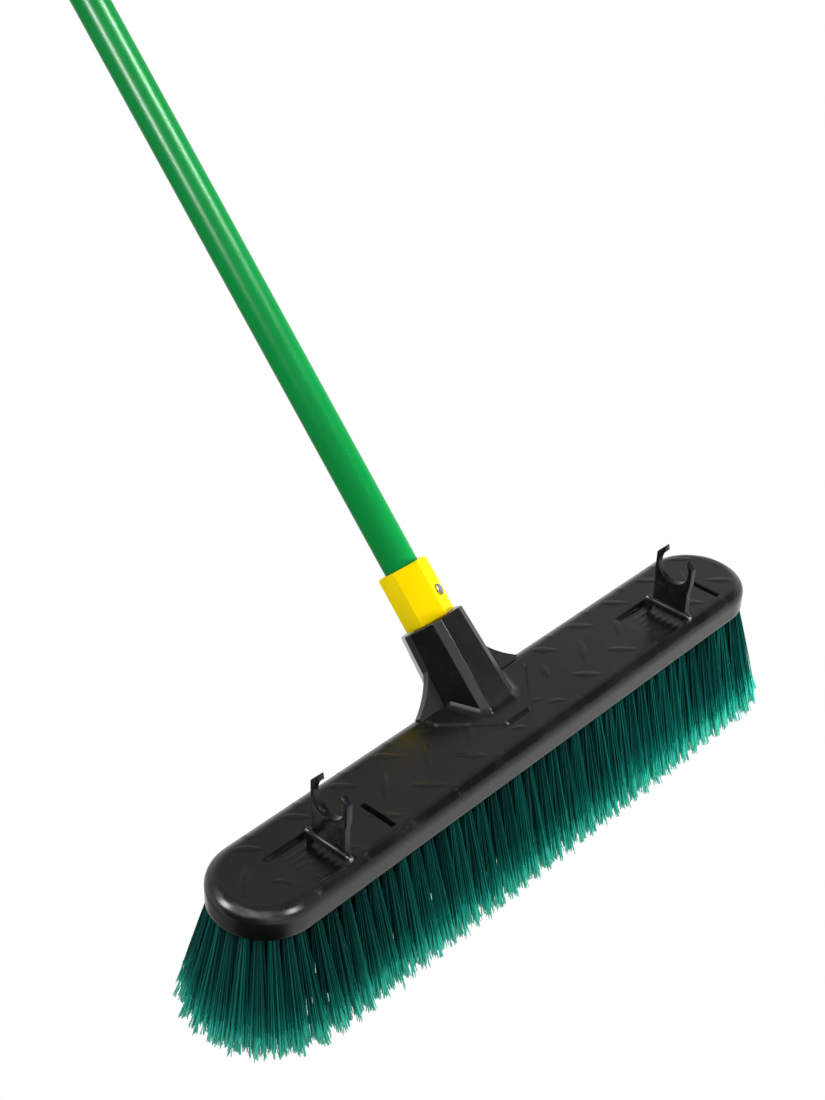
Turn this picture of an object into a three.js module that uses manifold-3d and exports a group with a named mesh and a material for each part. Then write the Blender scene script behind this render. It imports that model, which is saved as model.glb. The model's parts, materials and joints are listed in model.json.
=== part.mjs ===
// Push broom: a moulded block with a raked hexagonal socket, five rows of
// bristle tufts, two fold-down clips that hold the handle in storage, and a
// steel handle in a hexagonal collar that screws into the socket.
//
// Millimetres. +X runs along the block, -Y is its front, +Z is up. The origin
// is the middle of the plane that the bristle tips stand on. The handle leans
// back, towards +Y.

import * as THREE from 'three';
import { mergeVertices } from 'three/addons/utils/BufferGeometryUtils.js';
import Module from 'manifold-3d';

const wasm = await Module();
wasm.setup();

// ---------------------------------------------------------------- dimensions

const GAP = 0.3; // clearance between touching pieces

// block
const BLOCK_LENGTH = 457.2;
const BLOCK_WIDTH = 67;
const BLOCK_THICKNESS = 17.7;
const EDGE_INSET = 6.2; // rounded top edge, measured along the top face
const EDGE_DROP = 4.1; // and down the wall
const FOOT_CHAMFER = 1;
const END_RADIUS = BLOCK_WIDTH / 2;
const END_CENTRE_X = BLOCK_LENGTH / 2 - END_RADIUS;
const END_STEPS = 20; // steps round each end
const STRIP_STEPS = 10; // the same, on the hidden root strips and grooves

// bristles
const BRISTLE_LENGTH = 72; // from the block's underside to the floor
const TUFT_PITCH = 11; // along the straight rows
const END_PITCH = 7.5; // round the ends, where the tufts fan out
const TUFT_ROOT_RADIUS = 2.5;
const TUFT_TIP_ALONG = 5.3; // half size of a fanned tip along its row
const SIDE_TIP_ACROSS = 10.2; // and across it, front and back
const END_TIP_ACROSS = 9.2; // and past the round ends
const TUFT_SIDES = 6;
const OUTER_ROW = 28.5; // distance of each ring of roots from the centre line
const INNER_ROW = 14.5;
const SIDE_SPREAD = 42.2; // distance of the outer ring's tips, front and back
const END_SPREAD = 38.5; // and past the round ends
const STRIP_HALF_WIDTH = 3; // root strip that ties a row of tufts together
const STRIP_HEIGHT = 7.5;

const UNDERSIDE_Z = BRISTLE_LENGTH;
const TOP_Z = UNDERSIDE_Z + BLOCK_THICKNESS;

// socket and handle axis
const RAKE = THREE.MathUtils.degToRad(47); // handle above the horizontal
const AXIS_Y = 29.5; // where the handle's axis meets the block's top face
const SOCKET_TOP = 45.7; // distances along the axis from that point
const SOCKET_ROOT = -40;
const SOCKET_CORNER = 23; // corner radius of the hexagon at the top
const SOCKET_TAPER = 0.05; // growth of the corner radius per mm downwards
const SOCKET_EDGE_ROUND = 5;
const BORE_RADIUS = 12.2;
const BORE_FLOOR = 7.7;
const PAD_OUTLINE = [[38.5, -13], [41, 11], [44, 20], [51, 26.5]]; // its +X side, front to back
const PAD_HEIGHT = 1.6;
const FIN_REACH = 44.5; // half span of the side fins on the top face
const FIN_RISE = 22;
const FIN_THICKNESS = 5;

// collar
const COLLAR_CORNER = 16.4;
const COLLAR_TOP = 82.6;
const SPIGOT_RADIUS = BORE_RADIUS - GAP;
const SPIGOT_END = 9.7;
const TUBE_SEAT = 48.6;
const COLLAR_FLAT = COLLAR_CORNER * Math.cos(Math.PI / 6);

// handle
const TUBE_RADIUS = 11.1;
const TUBE_WALL = 0.8;
const HANDLE_LENGTH = 1524; // spigot end to the top of the end cap
const CAP_TOP = SPIGOT_END + HANDLE_LENGTH;
const CAP_LENGTH = 44;
const CAP_DOME = 9; // height of its domed end
const CAP_RADIUS = 12.6;
const TUBE_END = CAP_TOP - CAP_DOME - 3;

// self-tapping screw through the collar and the tube's wall
const SCREW_AT = 60.5;
const SCREW_ANGLE = -Math.PI / 3; // round the axis, from +X towards the front
const SCREW_RADIUS = 1.8;
const SCREW_TIP = 8; // distance of its point from the axis
const SCREW_HEAD_RADIUS = 3.8;
const SCREW_HEAD_HEIGHT = 1.6;

// storage clips
const CLIP_X = [-159.6, 150.8]; // hinge axes, left and right
const CLIP_Y = -11.4;
const CLIP_WIDTH = 28;
const CLIP_BACK = -0.7; // the plate's two faces, from the hinge axis
const CLIP_FRONT = 3.7;
const HINGE_HEIGHT = 3.2; // hinge axis above the top face
const BARREL_RADIUS = 2.6;
const PIN_RADIUS = 1.5;
const WAIST_HALF = 12.6; // half width of the plate between the hinge and the C
const WAIST_TOP = 20;
const GRIP_HEIGHT = 34.8; // centre of the C above the top face
const GRIP_RADIUS = 11.4;
const BACK_ARM = { edge: 13.4, shoulder: 41.5, tip: [7.9, 47.8], throat: 52 };
const FRONT_ARM = { edge: 13.8, shoulder: 38.5, tip: [9.4, 42.8], throat: 32 };
const EAR_THICKNESS = 3;
const EAR_HALF_LENGTH = 4.2;
const POCKET_LENGTH = 30; // finger pocket, from the hinge axis towards -X
const POCKET_END = 6; // and past the hinge axis
const POCKET_DEPTH = [2.2, 3.6]; // its floor slopes down towards the hinge
const POCKET_FRONT_Y = -26;
const POCKET_BACK_Y = 8;
const SLOT_OFFSET = 37;
const SLOT_WIDTH = 3;
const SLOT_LENGTH = 24;
const SLOT_DEPTH = 4;

// ------------------------------------------------------------------- solids

function toSolid(geometry, matrix = new THREE.Matrix4()) {
  let plain = geometry.clone().applyMatrix4(matrix);
  plain.deleteAttribute('normal');
  plain.deleteAttribute('uv');
  plain = mergeVertices(plain, 1e-4);
  const mesh = new wasm.Mesh({
    numProp: 3,
    vertProperties: new Float32Array(plain.attributes.position.array),
    triVerts: new Uint32Array(plain.index.array),
  });
  return new wasm.Manifold(mesh);
}

function toGeometry(solid) {
  const mesh = solid.getMesh();
  const geometry = new THREE.BufferGeometry();
  geometry.setAttribute('position', new THREE.BufferAttribute(mesh.vertProperties, 3));
  geometry.setIndex(new THREE.BufferAttribute(mesh.triVerts, 1));
  geometry.computeVertexNormals();
  return geometry;
}

const union = (solids) => solids.reduce((whole, next) => whole.add(next));

// A closed skin through rings of points that all have the same count.
// Rings run anticlockwise seen from the last ring.
function loft(rings) {
  const count = rings[0].length;
  const positions = rings.flat().flatMap((p) => [p.x, p.y, p.z]);
  const index = [];
  for (let ring = 0; ring + 1 < rings.length; ring += 1) {
    for (let i = 0; i < count; i += 1) {
      const a = ring * count + i;
      const b = ring * count + ((i + 1) % count);
      index.push(a, b, b + count, a, b + count, a + count);
    }
  }
  const last = (rings.length - 1) * count;
  for (let i = 1; i + 1 < count; i += 1) {
    index.push(0, i + 1, i);
    index.push(last, last + i, last + i + 1);
  }
  const geometry = new THREE.BufferGeometry();
  geometry.setAttribute('position', new THREE.Float32BufferAttribute(positions, 3));
  geometry.setIndex(index);
  return geometry;
}

function box(x0, x1, y0, y1, z0, z1) {
  const geometry = new THREE.BoxGeometry(x1 - x0, y1 - y0, z1 - z0);
  geometry.translate((x0 + x1) / 2, (y0 + y1) / 2, (z0 + z1) / 2);
  return geometry;
}

// A cylinder along +Z from z0 to z1, in its own frame.
function rod(radius, z0, z1, segments = 32) {
  const geometry = new THREE.CylinderGeometry(radius, radius, z1 - z0, segments);
  geometry.rotateX(Math.PI / 2);
  geometry.translate(0, 0, (z0 + z1) / 2);
  return geometry;
}

// A prism of a shape drawn in XY, from z0 to z1.
function prism(shape, z0, z1, curveSegments = 8) {
  const options = { depth: z1 - z0, bevelEnabled: false, curveSegments };
  const geometry = new THREE.ExtrudeGeometry(shape, options);
  geometry.translate(0, 0, z0);
  return geometry;
}

// ------------------------------------------------------------------- frames

// Frame of the handle: its Z runs up the handle from the block's top face, its
// X is the block's X and its Y faces down and to the back.
function handleFrame() {
  const alongX = new THREE.Vector3(1, 0, 0);
  const downBack = new THREE.Vector3(0, Math.sin(RAKE), -Math.cos(RAKE));
  const alongHandle = new THREE.Vector3(0, Math.cos(RAKE), Math.sin(RAKE));
  const frame = new THREE.Matrix4().makeBasis(alongX, downBack, alongHandle);
  return frame.setPosition(0, AXIS_Y, TOP_Z);
}

// Frame of the screw, in the handle's frame: its Z points out of the head.
function screwFrame() {
  const out = new THREE.Vector3(Math.cos(SCREW_ANGLE), Math.sin(SCREW_ANGLE), 0);
  const up = new THREE.Vector3(0, 0, 1);
  const side = new THREE.Vector3().crossVectors(up, out);
  const frame = new THREE.Matrix4().makeBasis(side, up, out);
  return frame.setPosition(0, 0, SCREW_AT);
}

const HANDLE = handleFrame();
const SCREW = HANDLE.clone().multiply(screwFrame());

// ---------------------------------------------------------------- the block

// Outline of a bar with full round ends, inset from the block's own outline.
function barOutline(radius, z, steps = END_STEPS) {
  const points = [];
  for (const side of [1, -1]) {
    for (let i = 0; i <= steps; i += 1) {
      const angle = -Math.PI / 2 + (Math.PI * i) / steps;
      const x = side * (END_CENTRE_X + radius * Math.cos(angle));
      const y = side * radius * Math.sin(angle);
      points.push(new THREE.Vector3(x, y, z));
    }
  }
  return points;
}

function blockBody() {
  const rings = [
    barOutline(END_RADIUS - FOOT_CHAMFER, UNDERSIDE_Z),
    barOutline(END_RADIUS, UNDERSIDE_Z + FOOT_CHAMFER),
  ];
  const roundSteps = 4;
  for (let i = 0; i <= roundSteps; i += 1) {
    const angle = (Math.PI / 2) * (i / roundSteps);
    const inset = EDGE_INSET * (1 - Math.cos(angle));
    rings.push(barOutline(END_RADIUS - inset, TOP_Z - EDGE_DROP * (1 - Math.sin(angle))));
  }
  return toSolid(loft(rings));
}

// Six-sided ring with rounded corners; flats face front and back.
function socketRing(along) {
  const corner = SOCKET_CORNER + SOCKET_TAPER * (SOCKET_TOP - along);
  const steps = 3;
  const centreRadius = corner - SOCKET_EDGE_ROUND / Math.cos(Math.PI / 6);
  const points = [];
  for (let side = 0; side < 6; side += 1) {
    const middle = (side * Math.PI) / 3;
    for (let i = 0; i <= steps; i += 1) {
      const angle = middle + (i / steps - 0.5) * (Math.PI / 3);
      const x = centreRadius * Math.cos(middle) + SOCKET_EDGE_ROUND * Math.cos(angle);
      const y = centreRadius * Math.sin(middle) + SOCKET_EDGE_ROUND * Math.sin(angle);
      points.push(new THREE.Vector3(x, y, along));
    }
  }
  return points;
}

function socketBody() {
  const rings = [SOCKET_ROOT, 0, SOCKET_TOP].map(socketRing);
  return toSolid(loft(rings), HANDLE);
}

// Low pad that the socket stands on, with sloping sides.
function socketPad() {
  const ring = (inset, z) => {
    const right = PAD_OUTLINE.map(([x, y], i) => [x - inset, i === 0 ? y + inset : y]);
    const left = right.map(([x, y]) => [-x, y]).reverse();
    return [...right, ...left].map(([x, y]) => new THREE.Vector3(x, y, z));
  };
  return toSolid(loft([ring(0, TOP_Z - 1), ring(0, TOP_Z), ring(PAD_HEIGHT, TOP_Z + PAD_HEIGHT)]));
}

// Web through the handle's axis whose two wings curve out to the top face.
function sideFins() {
  const shape = new THREE.Shape();
  const root = 12;
  shape.moveTo(-FIN_REACH, -root);
  shape.lineTo(FIN_REACH, -root);
  shape.lineTo(FIN_REACH, 0);
  shape.quadraticCurveTo(SOCKET_CORNER + 5, FIN_RISE * 0.45, SOCKET_CORNER - 1, FIN_RISE);
  shape.lineTo(-SOCKET_CORNER + 1, FIN_RISE);
  shape.quadraticCurveTo(-SOCKET_CORNER - 5, FIN_RISE * 0.45, -FIN_REACH, 0);
  const web = prism(shape, -FIN_THICKNESS / 2, FIN_THICKNESS / 2);
  web.rotateX(Math.PI / 2);
  return toSolid(web, HANDLE);
}

// Everything below the foot chamfer, to trim the raked socket.
const belowBlock = () => toSolid(box(-100, 100, -100, 150, -100, UNDERSIDE_Z + FOOT_CHAMFER));

// Band of a half width that follows one ring of roots, or the centre line.
function ringBand(row, half, z0, z1) {
  const bar = (radius, from, to) =>
    toSolid(loft([barOutline(radius, from, STRIP_STEPS), barOutline(radius, to, STRIP_STEPS)]));
  const outer = bar(row + half, z0, z1);
  return row < half ? outer : outer.subtract(bar(row - half, z0 - 1, z1 + 1));
}

// Groove in the underside that takes a ring of tuft roots.
function rootGroove(row) {
  const half = STRIP_HALF_WIDTH + GAP;
  const top = UNDERSIDE_Z + STRIP_HEIGHT + GAP;
  return ringBand(row, half, UNDERSIDE_Z - 1, top);
}

// Two ears that hold a clip's pin, standing on the block's top face.
function clipEars(x) {
  const shape = new THREE.Shape();
  const foot = -POCKET_DEPTH[1] - 1;
  shape.moveTo(-EAR_HALF_LENGTH, foot);
  shape.lineTo(EAR_HALF_LENGTH, foot);
  shape.lineTo(EAR_HALF_LENGTH - 1, HINGE_HEIGHT);
  shape.absarc(0, HINGE_HEIGHT, EAR_HALF_LENGTH - 1, 0, Math.PI, false);
  const outside = CLIP_WIDTH / 2 + GAP;
  const ears = [-outside - EAR_THICKNESS, outside].map((start) => {
    const ear = prism(shape, start, start + EAR_THICKNESS, 6);
    ear.rotateX(Math.PI / 2);
    ear.translate(x, CLIP_Y, TOP_Z);
    return toSolid(ear);
  });
  return union(ears);
}

function pinHole(x) {
  const length = CLIP_WIDTH + 4 * EAR_THICKNESS;
  const hole = rod(PIN_RADIUS + GAP, -length / 2, length / 2, 16);
  hole.rotateX(Math.PI / 2);
  hole.translate(x, CLIP_Y, TOP_Z + HINGE_HEIGHT);
  return toSolid(hole);
}

// Pocket with a sloping floor round a clip's hinge.
function clipPocket(x) {
  const [shallow, deep] = POCKET_DEPTH;
  const shape = new THREE.Shape();
  shape.moveTo(x - POCKET_LENGTH, TOP_Z + 1);
  shape.lineTo(x - POCKET_LENGTH, TOP_Z - shallow);
  shape.lineTo(x, TOP_Z - deep);
  shape.lineTo(x + POCKET_END, TOP_Z - deep);
  shape.lineTo(x + POCKET_END, TOP_Z + 1);
  const pocket = prism(shape, -POCKET_BACK_Y, -POCKET_FRONT_Y);
  pocket.rotateX(Math.PI / 2);
  return toSolid(pocket);
}

// Narrow slot in the top face on a clip's other side.
function clipSlot(x) {
  const x0 = x + SLOT_OFFSET;
  const y0 = CLIP_Y - SLOT_LENGTH / 2;
  return toSolid(box(x0, x0 + SLOT_WIDTH, y0, y0 + SLOT_LENGTH, TOP_Z - SLOT_DEPTH, TOP_Z + 1));
}

function block() {
  const raked = union([socketBody(), sideFins()]).subtract(belowBlock());
  const plain = union([blockBody(), socketPad(), raked]);
  const bore = toSolid(rod(BORE_RADIUS, BORE_FLOOR, SOCKET_TOP + 1, 40), HANDLE);
  const grooves = [OUTER_ROW, INNER_ROW, 0].map(rootGroove);
  const clipCuts = CLIP_X.flatMap((x) => [clipPocket(x), clipSlot(x)]);
  const cut = plain.subtract(union([bore, ...grooves, ...clipCuts]));
  return union([cut, ...CLIP_X.map(clipEars)]).subtract(union(CLIP_X.map(pinHole)));
}

// ------------------------------------------------------------------- tufts

// Places of the tufts on one stretch of a ring: root, tip and row direction.
function straightRow(row, side) {
  const tufts = [];
  const count = Math.floor((2 * END_CENTRE_X) / TUFT_PITCH);
  for (let i = 0; i < count; i += 1) {
    const x = (i - (count - 1) / 2) * TUFT_PITCH;
    tufts.push({ root: [x, side * row], out: [0, side], row });
  }
  return tufts;
}

function endRow(row, side) {
  const tufts = [];
  const count = Math.round((Math.PI * row) / END_PITCH);
  for (let i = 0; i < count; i += 1) {
    const angle = -Math.PI / 2 + (Math.PI * (i + 0.5)) / count;
    const out = [side * Math.cos(angle), Math.sin(angle)];
    tufts.push({ root: [side * END_CENTRE_X + row * out[0], row * out[1]], out, row });
  }
  return tufts;
}

// One fanned tuft: a small round root that widens to a flat oval tip.
function tuft({ root, out, row }) {
  const spread = row / OUTER_ROW;
  const throwX = spread * (END_SPREAD - OUTER_ROW) * out[0];
  const throwY = spread * (SIDE_SPREAD - OUTER_ROW) * out[1];
  const along = [-out[1], out[0]];
  const tipAcross = SIDE_TIP_ACROSS * out[1] ** 2 + END_TIP_ACROSS * out[0] ** 2;
  const ring = (alongSize, acrossSize, cx, cy, z) => {
    const points = [];
    for (let i = 0; i < TUFT_SIDES; i += 1) {
      const angle = (2 * Math.PI * (i + 0.5)) / TUFT_SIDES;
      const u = alongSize * Math.cos(angle);
      const v = acrossSize * Math.sin(angle);
      points.push(new THREE.Vector3(cx + u * along[0] + v * out[0], cy + u * along[1] + v * out[1], z));
    }
    return points.reverse();
  };
  const tip = ring(TUFT_TIP_ALONG, tipAcross, root[0] + throwX, root[1] + throwY, 0);
  const base = ring(TUFT_ROOT_RADIUS, TUFT_ROOT_RADIUS, root[0], root[1], UNDERSIDE_Z + 1);
  return toSolid(loft([tip, base]));
}

// Root strip of a straight row or of a round end, lying in its groove.
function rootStrip(row, region) {
  const band = ringBand(row, STRIP_HALF_WIDTH, UNDERSIDE_Z, UNDERSIDE_Z + STRIP_HEIGHT);
  return region ? band.intersect(toSolid(region)) : band;
}

const ROW_REGIONS = {
  front: () => box(-END_CENTRE_X, END_CENTRE_X, -50, 0, 0, 100),
  back: () => box(-END_CENTRE_X, END_CENTRE_X, 0, 50, 0, 100),
  left: () => box(-300, -END_CENTRE_X - GAP, -50, 50, 0, 100),
  right: () => box(END_CENTRE_X + GAP, 300, -50, 50, 0, 100),
};

function tuftRow(row, place) {
  const tufts = {
    front: () => straightRow(row, -1),
    back: () => straightRow(row, 1),
    left: () => endRow(row, -1),
    right: () => endRow(row, 1),
  }[place]();
  return union([rootStrip(row, ROW_REGIONS[place]()), ...tufts.map(tuft)]);
}

function centreRow() {
  return union([rootStrip(0), ...straightRow(0, 1).map(tuft)]);
}

// ------------------------------------------------------------------- clips

// Outline of a clip in (y, z): hinge end, waist, front arm, C, back arm.
function clipShape() {
  const half = CLIP_WIDTH / 2;
  const foot = HINGE_HEIGHT;
  const back = THREE.MathUtils.degToRad(BACK_ARM.throat);
  const front = Math.PI - THREE.MathUtils.degToRad(FRONT_ARM.throat);
  const throatY = GRIP_RADIUS * Math.cos(back);
  const throatZ = GRIP_HEIGHT + GRIP_RADIUS * Math.sin(back);
  const shape = new THREE.Shape();
  shape.moveTo(-half, foot);
  shape.lineTo(half, foot);
  shape.lineTo(WAIST_HALF, foot + 3);
  shape.lineTo(WAIST_HALF, WAIST_TOP);
  shape.lineTo(BACK_ARM.edge, WAIST_TOP + 7);
  shape.lineTo(BACK_ARM.edge, BACK_ARM.shoulder);
  shape.lineTo(...BACK_ARM.tip);
  shape.lineTo(throatY, throatZ);
  shape.absarc(0, GRIP_HEIGHT, GRIP_RADIUS, back, front, true);
  shape.lineTo(-FRONT_ARM.tip[0], FRONT_ARM.tip[1]);
  shape.lineTo(-FRONT_ARM.edge, FRONT_ARM.shoulder);
  shape.lineTo(-FRONT_ARM.edge, WAIST_TOP + 7);
  shape.lineTo(-WAIST_HALF, WAIST_TOP);
  shape.lineTo(-WAIST_HALF, foot + 3);
  return shape;
}

function clip(x) {
  // drawn in XY, then stood up: shape x becomes Y, shape y becomes Z
  const stand = new THREE.Matrix4().makeBasis(
    new THREE.Vector3(0, 1, 0),
    new THREE.Vector3(0, 0, 1),
    new THREE.Vector3(1, 0, 0),
  );
  stand.setPosition(x, CLIP_Y, TOP_Z);
  const plate = toSolid(prism(clipShape(), CLIP_BACK, CLIP_FRONT, 14), stand);
  const barrel = rod(BARREL_RADIUS, -CLIP_WIDTH / 2, CLIP_WIDTH / 2, 20);
  barrel.rotateX(Math.PI / 2);
  barrel.translate(x, CLIP_Y, TOP_Z + HINGE_HEIGHT);
  return plate.add(toSolid(barrel)).subtract(pinHole(x));
}

function clipPin(x) {
  const half = CLIP_WIDTH / 2 + GAP + EAR_THICKNESS;
  const pin = rod(PIN_RADIUS, -half, half, 16);
  pin.rotateX(Math.PI / 2);
  pin.translate(x, CLIP_Y, TOP_Z + HINGE_HEIGHT);
  return toSolid(pin);
}

// ------------------------------------------------------------------ handle

// Regular six-sided prism in the handle's frame; flats face +X and -X.
function collarPrism(corner, z0, z1) {
  const ring = (radius, z) =>
    Array.from({ length: 6 }, (_, side) => {
      const angle = Math.PI / 6 + (side * Math.PI) / 3;
      return new THREE.Vector3(radius * Math.cos(angle), radius * Math.sin(angle), z);
    });
  const edge = 1;
  return toSolid(loft([ring(corner, z0), ring(corner, z1 - edge), ring(corner - edge, z1)]), HANDLE);
}

const screwHole = () => toSolid(rod(SCREW_RADIUS + GAP, 0, 20, 16), SCREW);

function collar() {
  const hexagon = collarPrism(COLLAR_CORNER, SOCKET_TOP + GAP, COLLAR_TOP);
  const spigot = toSolid(rod(SPIGOT_RADIUS, SPIGOT_END, SOCKET_TOP + 1, 40), HANDLE);
  const tubeBore = toSolid(rod(TUBE_RADIUS + GAP, TUBE_SEAT, COLLAR_TOP + 1, 40), HANDLE);
  return hexagon.add(spigot).subtract(tubeBore).subtract(screwHole());
}

function tube() {
  const outside = toSolid(rod(TUBE_RADIUS, TUBE_SEAT + GAP, TUBE_END, 40), HANDLE);
  const inside = toSolid(rod(TUBE_RADIUS - TUBE_WALL, TUBE_SEAT - 1, TUBE_END + 1, 40), HANDLE);
  return outside.subtract(inside).subtract(screwHole());
}

// Pan-head screw with a blunt point.
function screwSolid() {
  const seat = COLLAR_FLAT + GAP;
  const profile = [
    new THREE.Vector2(0, SCREW_TIP),
    new THREE.Vector2(SCREW_RADIUS * 0.5, SCREW_TIP),
    new THREE.Vector2(SCREW_RADIUS, SCREW_TIP + 1.5),
    new THREE.Vector2(SCREW_RADIUS, seat),
    new THREE.Vector2(SCREW_HEAD_RADIUS, seat),
    new THREE.Vector2(SCREW_HEAD_RADIUS, seat + SCREW_HEAD_HEIGHT * 0.45),
    new THREE.Vector2(SCREW_HEAD_RADIUS * 0.75, seat + SCREW_HEAD_HEIGHT),
    new THREE.Vector2(0, seat + SCREW_HEAD_HEIGHT),
  ];
  const turned = new THREE.LatheGeometry(profile, 16);
  turned.rotateX(Math.PI / 2);
  return toSolid(turned, SCREW);
}

// Plastic cap with a domed end, pushed over the tube.
function endCap() {
  const start = CAP_TOP - CAP_LENGTH;
  const edge = 0.8;
  const profile = [new THREE.Vector2(0, start), new THREE.Vector2(CAP_RADIUS - edge, start)];
  profile.push(new THREE.Vector2(CAP_RADIUS, start + edge));
  const steps = 6;
  for (let i = 0; i <= steps; i += 1) {
    const angle = (Math.PI / 2) * (i / steps);
    const radius = i < steps ? CAP_RADIUS * Math.cos(angle) : 0;
    profile.push(new THREE.Vector2(radius, CAP_TOP - CAP_DOME * (1 - Math.sin(angle))));
  }
  const turned = new THREE.LatheGeometry(profile, 40);
  turned.rotateX(Math.PI / 2);
  const mouth = rod(TUBE_RADIUS + GAP, start - 1, TUBE_END + GAP, 40);
  return toSolid(turned, HANDLE).subtract(toSolid(mouth, HANDLE));
}

// ---------------------------------------------------------------- assembly

const FINISHES = {
  block: { color: 0x2b2b28, roughness: 0.55, metalness: 0 },
  clip: { color: 0x17171a, roughness: 0.4, metalness: 0 },
  bristle: { color: 0x006a5b, roughness: 0.6, metalness: 0 },
  collar: { color: 0xf7dc00, roughness: 0.45, metalness: 0 },
  handle: { color: 0x0a9a45, roughness: 0.25, metalness: 0.1 },
  steel: { color: 0x9a9a98, roughness: 0.35, metalness: 1 },
};

const broom = new THREE.Group();

function addPiece(name, solid, finish) {
  const material = new THREE.MeshStandardMaterial(FINISHES[finish]);
  const mesh = new THREE.Mesh(toGeometry(solid), material);
  mesh.name = name;
  broom.add(mesh);
}

addPiece('block', block(), 'block');

const ROWS = { outer: OUTER_ROW, inner: INNER_ROW };
for (const [ring, row] of Object.entries(ROWS)) {
  for (const place of Object.keys(ROW_REGIONS)) {
    addPiece(`tufts_${ring}_${place}`, tuftRow(row, place), 'bristle');
  }
}
addPiece('tufts_centre', centreRow(), 'bristle');

['left', 'right'].forEach((side, i) => {
  addPiece(`clip_${side}`, clip(CLIP_X[i]), 'clip');
  addPiece(`clip_pin_${side}`, clipPin(CLIP_X[i]), 'steel');
});

addPiece('collar', collar(), 'collar');
addPiece('handle_tube', tube(), 'handle');
addPiece('end_cap', endCap(), 'collar');
addPiece('collar_screw', screwSolid(), 'steel');

export default broom;
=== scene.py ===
"""Looks of the push broom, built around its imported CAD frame. Metres."""

import json
import math
import random

import bmesh
import bpy
import numpy as np
from mathutils import Matrix, Vector


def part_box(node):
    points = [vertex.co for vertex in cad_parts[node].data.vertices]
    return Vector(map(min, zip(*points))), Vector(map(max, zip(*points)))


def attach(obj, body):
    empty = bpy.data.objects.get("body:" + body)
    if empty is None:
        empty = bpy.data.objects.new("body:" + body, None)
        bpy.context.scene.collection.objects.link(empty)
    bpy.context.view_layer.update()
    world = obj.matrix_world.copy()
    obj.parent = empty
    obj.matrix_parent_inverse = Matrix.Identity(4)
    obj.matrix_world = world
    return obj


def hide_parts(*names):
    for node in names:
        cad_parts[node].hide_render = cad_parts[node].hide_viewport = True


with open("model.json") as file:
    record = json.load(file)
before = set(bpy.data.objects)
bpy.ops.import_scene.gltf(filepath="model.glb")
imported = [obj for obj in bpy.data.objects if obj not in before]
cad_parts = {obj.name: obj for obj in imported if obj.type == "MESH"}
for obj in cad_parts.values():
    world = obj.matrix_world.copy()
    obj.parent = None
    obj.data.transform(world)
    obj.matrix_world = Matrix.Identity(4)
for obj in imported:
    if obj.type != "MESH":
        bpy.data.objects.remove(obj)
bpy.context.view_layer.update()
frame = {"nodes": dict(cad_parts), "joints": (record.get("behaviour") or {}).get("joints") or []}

# ------------------------------------------------------------ places from the CAD

MM = 0.001
HINGES = [Vector(j["pos_m"]) for j in frame["joints"] if j["type"] == "hinge"]
HANDLE_AXIS = next(
    Vector(j["axis"]).normalized() for j in frame["joints"] if j["type"] == "slide"
)
TOP = HINGES[0].z - 3.2 * MM
BLOCK_LOW, BLOCK_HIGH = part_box("block")
UNDERSIDE = BLOCK_LOW.z
HALF_WIDTH = -BLOCK_LOW.y
END_CENTRE = BLOCK_HIGH.x - HALF_WIDTH


def axis_origin():
    """Where the handle's axis meets the block's top face."""
    low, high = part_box("handle_tube")
    middle = (low + high) / 2
    return middle + HANDLE_AXIS * ((TOP - middle.z) / HANDLE_AXIS.z)


AXIS_ORIGIN = axis_origin()
DOWN_BACK = Vector((0, HANDLE_AXIS.z, -HANDLE_AXIS.y))

# ------------------------------------------------------------ dimensions

EDGE_INSET = 6.2 * MM
EDGE_DROP = 4.1 * MM
EDGE_BLEND = 3.0 * MM  # where the sloping edge runs into the wall
TOP_BLEND = 2.8 * MM  # and into the top face
FOOT_CHAMFER = 1.0 * MM

SOCKET_TOP = 45.7 * MM
SOCKET_CORNER = 23 * MM
SOCKET_TAPER = 0.05
SOCKET_CUT = 6 * MM  # width of the flat on each corner
SOCKET_BLEND = 0.6 * MM
SOCKET_RIM = 1.2 * MM
FACET_STEPS = 6
RIM_STEPS = 4
CORE_SIDES = 8
FIBRE_SIDES = 3
BLEND_STEPS = 5
TOP_STEPS = 8
BORE_RADIUS = 12.2 * MM
BORE_FLOOR = 7.7 * MM
SOCKET_FILLET = 6 * MM  # how far the top face sweeps up to the socket
FILLET_RISE = 2.4 * MM
SOCKET_SINK = 7 * MM  # the top face passes below the bore inside the socket
PAD_OUTLINE = [(38.5, -13), (41, 11), (44, 20), (51, 26.5)]
PAD_HEIGHT = 1.6 * MM
PAD_SLOPE = 3 * MM
FIN_REACH = 44.5 * MM
FIN_RISE = 22 * MM
FIN_THICKNESS = 5 * MM

POCKET_X = (-30 * MM, 6 * MM)
POCKET_Y = (-26 * MM, 8 * MM)
POCKET_DEPTH = (2.2 * MM, 3.6 * MM)
SLOT_X = (37 * MM, 40 * MM)
SLOT_HALF_LENGTH = 12 * MM
SLOT_DEPTH = 4 * MM
EAR_THICKNESS = 2 * MM
EAR_HALF_LENGTH = 3.3 * MM
HINGE_HEIGHT = 3.2 * MM
CLIP_HALF_WIDTH = 14.3 * MM

LOZENGE_START = (25.5 * MM, -14.5 * MM)
LOZENGE_STEP = (18 * MM, 17.5 * MM)
LOZENGE_HALF = (12 * MM, 2.6 * MM)
LOZENGE_HEIGHT = 0.32 * MM
CLEAT_START = 2 * MM
CLEAT_PITCH = 37 * MM
CLEAT_HEIGHT = 0.22 * MM
RIB_PITCH = 4.5 * MM
RIB_HEIGHT = 0.14 * MM

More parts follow.
